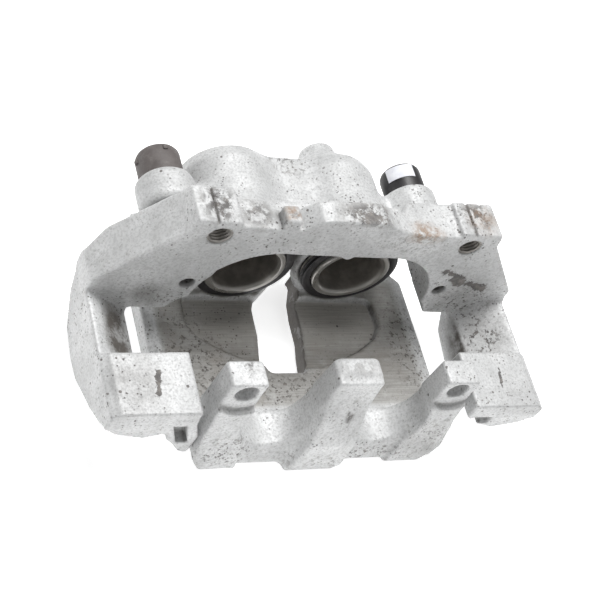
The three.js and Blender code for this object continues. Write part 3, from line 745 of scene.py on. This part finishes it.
paint_value(carrier, "speckle", np.maximum.reduce([
    blob(v, (104, -4, 2), (28, 40, 20)), blob(v, (118, -20, -6), (16, 22, 14)),
    blob(v, (-84, 0, 2), (26, 8, 14)) * 0.8, blob(v, (-112, -12, -12), (8, 26, 14)),
    blob(v, (4, 4, 76), (26, 14, 6)), blob(v, (40, 0, 60), (30, 6, 16)) * 0.5]))
paint_value(carrier, "streak", np.maximum.reduce([
    stroke(v, (-105.8, -51, BLOCK_Z), (-107.3, -64, BLOCK_Z), 3.6),
    stroke(v, (109.5, -51, BLOCK_Z), (107.5, -64, BLOCK_Z), 2.2),
    stroke(v, (77, 0, 33), (90, 0, 28), 5.6), stroke(v, (84, 0, 27), (112, 0, 16), 6.6)]))
paint_value(carrier, "pocket_light", np.zeros(len(v)))
dress(carrier, PAINT, "carrier", "silver_paint", "carrier_bracket")

v, q = surface(caliper_field, (-101, -91, -51), (101, 104, 38), GRID)
nv = normals(v, q)
caliper = add_mesh("caliper_casting", v, q)
hollow, edge = masks(caliper_field, v, nv)
floor = slope(nv[:, 2], 0.5, 0.85) * slope(-v[:, 2], 26, 28) * slope(-np.abs(v[:, 0]), -86, -78)
floor *= slope(v[:, 1], -55, -50) * slope(-v[:, 1], -38, -30) * slope(v[:, 0], -83.5, -81.5)
in_pocket = poly(v[:, 0], v[:, 1], POCKET)
floor *= 0.85 + 0.15 * slope(-in_pocket, -0.6, 0.6)
rim = slope(-np.abs(in_pocket - 0.8), -1.7, -0.5) * slope(-v[:, 2], 24, 26)
slot_wall = (slope(-nv[:, 0], 0.5, 0.8) * slope(v[:, 0], 2, 5) * slope(-v[:, 0], -24, -18)
             * slope(-v[:, 2], 26, 29))
# painted shade with some grime: recesses, the line along the pocket's rim, the slot wall and the gap
# between the barrels
paint_value(caliper, "hollow", np.maximum.reduce([
    hollow, rim * slope(v[:, 1], -32, -27) * slope(-v[:, 1], -21, -16) * 1.5, slot_wall * 2.2,
    blob(v, (66, -80, -24), (20, 10, 24)) * 0.4, blob(v, (0, 40, 4), (16, 14, 18)) * 0.9,
    blob(v, (0, 32, -16), (14, 14, 26))]))
paint_value(caliper, "edge", edge)
paint_value(caliper, "wear", np.maximum(blob(v, (2, -76, 6), (3, 8, 14)),
                                       blob(v, (0, -62, 32), (14, 8, 4)) * 0.4))
paint_value(caliper, "rust", np.zeros(len(v)))
paint_value(caliper, "bare", floor)
paint_value(caliper, "speckle", np.maximum.reduce([
    blob(v, (-62, -20, -30), (30, 40, 20)), blob(v, (78, -12, -29), (16, 44, 8)),
    blob(v, (-60, -76, -30), (26, 12, 24)), blob(v, (20, -82, -34), (60, 12, 16)) * 0.9,
    blob(v, (0, -40, -32), (70, 14, 8)), blob(v, (2, 84, 22), (22, 14, 14)) * 0.8,
    blob(v, (70, -74, -20), (20, 12, 26)) * 0.7]))
paint_value(caliper, "streak", np.maximum(stroke(v, (-2.5, -80.5, 5), (2.5, -78.5, 18), 2.2),
                                         stroke(v, (-6, -84, -13), (-3, -83, -5), 1.4) * 0.8))
# painted light: brighter metal over the inboard part of the pocket floor
paint_value(caliper, "pocket_light", slope(-in_pocket, -0.6, 0.6) * slope(v[:, 1], -24, 4))
dress(caliper, PAINT, "caliper", "silver_paint", "caliper_housing")

# ---- Turned pieces ---------------------------------------------------------------------------


def lathe(name, profile, cx, cz, segments=96, sharp=40):
    """A closed turned piece about an axis along Y, from a profile of (radius, y) points."""
    profile = np.asarray(profile, float)
    ang = np.linspace(0, 2 * math.pi, segments, endpoint=False)
    n = len(profile)
    verts = np.stack([cx + profile[None, :, 0] * np.sin(ang)[:, None],
                      np.repeat(profile[None, :, 1], segments, 0),
                      cz + profile[None, :, 0] * np.cos(ang)[:, None]], -1).reshape(-1, 3)
    faces = []
    for i in range(segments):
        j = (i + 1) % segments
        for k in range(n):
            l = (k + 1) % n
            faces.append((i * n + k, i * n + l, j * n + l, j * n + k))
    ob = add_mesh(name, verts, faces)
    tidy_mesh(ob, sharp)
    return ob


def tidy_mesh(ob, sharp):
    """Merges doubled points, turns faces outwards and keeps edges above the angle crisp."""
    bm = bmesh.new()
    bm.from_mesh(ob.data)
    bmesh.ops.remove_doubles(bm, verts=bm.verts, dist=1e-6)
    bmesh.ops.dissolve_degenerate(bm, dist=1e-7, edges=bm.edges)
    bmesh.ops.recalc_face_normals(bm, faces=bm.faces)
    for e in bm.edges:
        if len(e.link_faces) == 2 and e.calc_face_angle(0) > math.radians(sharp):
            e.smooth = False
    bm.to_mesh(ob.data)
    bm.free()


def inner_mask(ob, test):
    co = np.empty(len(ob.data.vertices) * 3)
    ob.data.vertices.foreach_get("co", co)
    paint_value(ob, "inner", test((co.reshape(-1, 3) - SHIFT) * 1000))


for name, side in SIDES:
    cx = side * PISTON_X
    end = RIM_Y + 48
    cup = RIM_Y + 41
    piston = lathe("piston_cup_" + name, [
        (0.001, end), (22.3, end), (23.3, end - 0.3), (23.9, end - 1), (24, end - 2), (24, RIM_Y + 6.2),
        (22.4, RIM_Y + 5.6), (22.2, RIM_Y + 5.2), (22.2, RIM_Y + 3.6), (22.4, RIM_Y + 3.2),
        (24, RIM_Y + 2.7), (24, RIM_Y + 1.0), (23.7, RIM_Y + 0.35), (23.2, RIM_Y), (21.4, RIM_Y),
        (20.9, RIM_Y + 0.1), (19.9, RIM_Y + 1.1), (19.3, RIM_Y + 2.2), (19.2, RIM_Y + 3.5),
        (19.2, cup - 4), (18.6, cup - 2), (16.6, cup - 0.4), (14, cup), (0.001, cup)], cx, 0, 128, 32)
    inner_mask(piston, lambda p, c=cx: (slope(20.6 - np.hypot(p[:, 0] - c, p[:, 2]), 0.2, 0.9)
                                        * slope(p[:, 1], RIM_Y + 0.8, RIM_Y + 2.4)))
    dress(piston, STEEL, name + "_piston", "machined_steel", "piston_" + name)

    folds = [(24.5, 21.9), (24.6, 21.2), (25.6, 20.8), (27.8, 20.6), (28.9, 20.7), (29.4, 21.2),
             (29.2, 21.8), (27.6, 22.2), (26.6, 22.7), (27.8, 23.0), (29.6, 23.2), (30.2, 23.7),
             (30.1, 24.3), (29.4, 24.7), (27.0, 24.7), (26.4, 25.2), (26.6, 26.6), (28.4, 26.9),
             (29.4, 27.2), (29.5, 28), (29.5, 32), (29.1, 32.6), (28.0, 32.6), (27.7, 32),
             (27.6, 28.6), (25.4, 27.4),
             (24.9, 26.2), (24.9, 24.0), (24.5, 23.4)]
    boot = lathe("dust_boot_bellows_" + name, folds, cx, 0, 96, 60)
    boot.data.materials.clear()
    boot.data.materials.append(BLACK)
    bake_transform(boot)
    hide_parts("dust_boot_" + name)

    wire = lathe("boot_ring_wire_" + name, [
        (27.7 + 0.9 * (1 + math.cos(t)), 25.9 + 0.8 * math.sin(t)) for t in
        np.linspace(0, 2 * math.pi, 12, endpoint=False)], cx, 0, 96, 60)
    dress(wire, ZINC, "caliper", "zinc_steel", "boot_ring_" + name)

    gx = side * GUIDE_X
    cap = lathe("guide_cap_shell_" + name, [
        (11.2, CAP_Y0), (CAP_R - 0.2, CAP_Y0), (CAP_R, CAP_Y0 + 0.4), (CAP_R, CAP_Y1 - 4),
        (CAP_R - 0.3, CAP_Y1 - 2.6), (CAP_R - 1.2, CAP_Y1 - 1.1), (CAP_R - 2.6, CAP_Y1 - 0.3),
        (CAP_R - 4.5, CAP_Y1), (0.001, CAP_Y1), (0.001, CAP_Y1 - 2), (CAP_R - 3.4, CAP_Y1 - 2),
        (CAP_R - 2.4, CAP_Y1 - 3), (11.2, CAP_Y0 + 1)], gx, GUIDE_Z, 96, 50)
    dress(cap, BROWN if side < 0 else BLACK, "caliper", "black_rubber", "guide_cap_" + name)

    bush = lathe("guide_bush_lip_" + name, [
        (7.6, 42.4), (11.2, 42.3), (12.0, 42.5), (12.4, 42.9), (12.0, 43.2), (10.3, 43.4), (10.3, 43.7),
        (12.0, 43.9), (12.4, 44.3), (12.0, 44.7), (10.3, 44.9), (10.3, 45.3), (11.2, 46), (11.2, 66.2),
        (7.6, 66.2)], gx, GUIDE_Z, 72, 40)
    dress(bush, BLACK, "caliper", "black_rubber", "guide_bush_" + name)


for name, side in SIDES:
    cx = side * PISTON_X
    seal = lathe("piston_seal_ring_" + name, [
        (24.4, 40.8), (24.9, 40.3), (26.7, 40.3), (27.2, 40.8), (27.2, 45.2), (26.7, 45.7), (24.9, 45.7),
        (24.4, 45.2)], cx, 0, 96, 60)
    dress(seal, SEAL, "caliper", "seal_rubber", "piston_seal_" + name)
    gx = side * GUIDE_X
    sleeve = lathe("guide_sleeve_tube_" + name, [
        (6.3, 44.2), (6.5, 44), (7.1, 44), (7.3, 44.2), (7.3, 66), (7.1, 66.2), (6.5, 66.2), (6.3, 66)],
        gx, GUIDE_Z, 64, 60)
    dress(sleeve, ZINC, "caliper", "zinc_steel", "guide_sleeve_" + name)

cap_foot = BLEED_Y + 7
bleed_cap = lathe("bleed_cap_shell", [
    (3.7, cap_foot), (4.9, cap_foot), (5.2, cap_foot + 0.3), (5.2, cap_foot + 2.7), (4.9, cap_foot + 3.1),
    (4.5, cap_foot + 3.6), (4.6, cap_foot + 4.4), (4.6, cap_foot + 10), (4.3, cap_foot + 10.9),
    (3.5, cap_foot + 11.4), (0.001, cap_foot + 11.5), (0.001, cap_foot + 9), (3.7, cap_foot + 9)],
    BLEED_X, BLEED_Z, 48, 50)
dress(bleed_cap, BLACK, "bleeder", "black_rubber", "bleed_cap")


def nub(name, low, high):
    """A small moulded rubber nub with rounded edges."""
    v, q = surface(lambda x, y, z: box(x, y, z, low, high, 0.7),
                   np.array(low) - 1, np.array(high) + 1, 0.35)
    return dress(add_mesh(name, v, q), BROWN, "caliper", "black_rubber")


nub("cap_nub_top", (-GUIDE_X - 1.5, CAP_Y1 - 6, GUIDE_Z + 10.9),
    (-GUIDE_X + 1.5, CAP_Y1 - 3, GUIDE_Z + 14))
nub("cap_nub_outer", (-GUIDE_X - 14, CAP_Y1 - 8, GUIDE_Z - 1.5),
    (-GUIDE_X - 10.9, CAP_Y1 - 5, GUIDE_Z + 1.5))
nub("cap_nub_inner", (-GUIDE_X + 10.9, CAP_Y1 - 6, GUIDE_Z - 1.5),
    (-GUIDE_X + 14, CAP_Y1 - 3, GUIDE_Z + 1.5))


def label_strip():
    """A blank paper label wrapped round the right cap, one corner lifting a little."""
    along, across = 36, 8
    shells = []
    for radius in (CAP_R + 0.25, CAP_R + 0.5):
        for i in range(along + 1):
            for k in range(across + 1):
                t, y = math.radians(84 + 78 * i / along), CAP_Y1 - 12 + 9 * k / across
                r = radius + 0.25 * max(0, i / along - 0.85) * k / across
                shells.append((GUIDE_X + r * math.cos(t), y, GUIDE_Z + r * math.sin(t)))
    half, row = (along + 1) * (across + 1), across + 1
    faces = []
    for i in range(along):
        for k in range(across):
            a = i * row + k
            faces.append((a, a + 1, a + 1 + row, a + row))
            faces.append((half + a, half + a + row, half + a + 1 + row, half + a + 1))
    rim = [i * row for i in range(along)] + [along * row + k for k in range(across)]
    rim += [i * row + across for i in range(along, 0, -1)] + list(range(across, 0, -1))
    for a, b in zip(rim, rim[1:] + rim[:1]):
        faces.append((a, b, half + b, half + a))
    ob = add_mesh("cap_label_strip", np.array(shells), faces)
    tidy_mesh(ob, 40)
    return ob


dress(label_strip(), PAPER, "caliper", "paper", "cap_label")

for name in ("guide_pin_left", "guide_pin_right", "passage_plug", "bleed_screw"):
    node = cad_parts[name]
    node.data.materials.clear()
    node.data.materials.append(ZINC)


def thread_liner(name, cx, cz, crest, root, outer, y0, y1, pitch):
    """A threaded sleeve: a helical groove on the inside of a thin tube."""
    around, along = 64, int((y1 - y0) / pitch * 8)
    ang = np.linspace(0, 2 * math.pi, around, endpoint=False)
    ys = np.linspace(y0, y1, along + 1)
    a, y = np.meshgrid(ang, ys, indexing="ij")
    phase = ((y - y0) / pitch - a / (2 * math.pi)) % 1.0
    r = crest + (root - crest) * np.clip(1.25 * (1 - np.abs(2 * phase - 1)), 0, 1)
    inner = np.stack([cx + r * np.sin(a), y, cz + r * np.cos(a)], -1)
    rim = np.stack([cx + outer * np.sin(a), y, cz + outer * np.cos(a)], -1)
    grid = np.concatenate([inner, rim[:, ::-1]], 1)
    n = grid.shape[1]
    faces = []
    for i in range(around):
        here, there = i * n, (i + 1) % around * n
        for k in range(n):
            faces.append((here + k, here + (k + 1) % n, there + (k + 1) % n, there + k))
    ob = add_mesh(name, grid.reshape(-1, 3), faces)
    tidy_mesh(ob, 50)
    return ob


for name, side in SIDES:
    liner = thread_liner("mounting_thread_" + name, side * MOUNT_X, MOUNT_Z, 5.7, 6.7, 7.1, 0.9, 23.2, 1.9)
    inner_mask(liner, lambda p: 0.55 + 0 * p[:, 0])
    dress(liner, STEEL, "carrier", "silver_paint")


# ---- Floor, camera, light --------------------------------------------------------------------


def floor_material():
    m = Nodes("studio_floor")
    tone = m.noise(3, 3, 0.5, w=1.0)
    m.set(Base_Color=m.mix(m.ramp(tone, 0.3, 0.7), (0.90, 0.90, 0.90), (0.93, 0.93, 0.93)), Roughness=0.8)
    m.set(Emission_Color=(1, 1, 1, 1), Emission_Strength=0.64)
    return m.mat


low = CAD_BOX[0][2]
ground = bpy.data.meshes.new("studio_floor")
ground.from_pydata([(-6, -6, low), (6, -6, low), (6, 6, low), (-6, 6, low)], [], [(0, 1, 2, 3)])
ground_ob = bpy.data.objects.new("studio_floor", ground)
bpy.context.scene.collection.objects.link(ground_ob)
ground.materials.append(floor_material())

cam_data = bpy.data.cameras.new("camera")
cam = bpy.data.objects.new("camera", cam_data)
bpy.context.scene.collection.objects.link(cam)
right, up = (0.878565, -0.243272, 0.411026), (-0.019024, 0.842059, 0.539050)
back = (-0.477244, -0.481410, 0.735176)
place = to_row((-367.755, -366.042, 559.129))
cam.matrix_world = Matrix([[right[i], up[i], back[i], place[i]] for i in range(3)] + [[0, 0, 0, 1]])
cam_data.sensor_width = 36
cam_data.lens = 80.1855
cam_data.clip_start, cam_data.clip_end = 0.01, 50
bpy.context.scene.camera = cam

world = bpy.data.worlds.new("studio")
bpy.context.scene.world = world
world.use_nodes = True
world.node_tree.nodes["Background"].inputs[0].default_value = (1, 1, 1, 1)
world.node_tree.nodes["Background"].inputs[1].default_value = 0.22


def area(name, at, size, power):
    data = bpy.data.lights.new(name, "AREA")
    data.shape, data.size, data.energy = "DISK", size, power
    ob = bpy.data.objects.new(name, data)
    bpy.context.scene.collection.objects.link(ob)
    ob.location = at
    aim = Vector((0, 0, 0.05)) - Vector(at)
    ob.rotation_mode = "QUATERNION"
    ob.rotation_quaternion = aim.to_track_quat("-Z", "Y")
    return ob


area("key_top", (0.10, 0.32, 1.6), 0.9, 29)
area("fill_front", (0.45, -1.5, 0.60), 0.9, 3.4)
bpy.context.scene.view_settings.view_transform = "Standard"
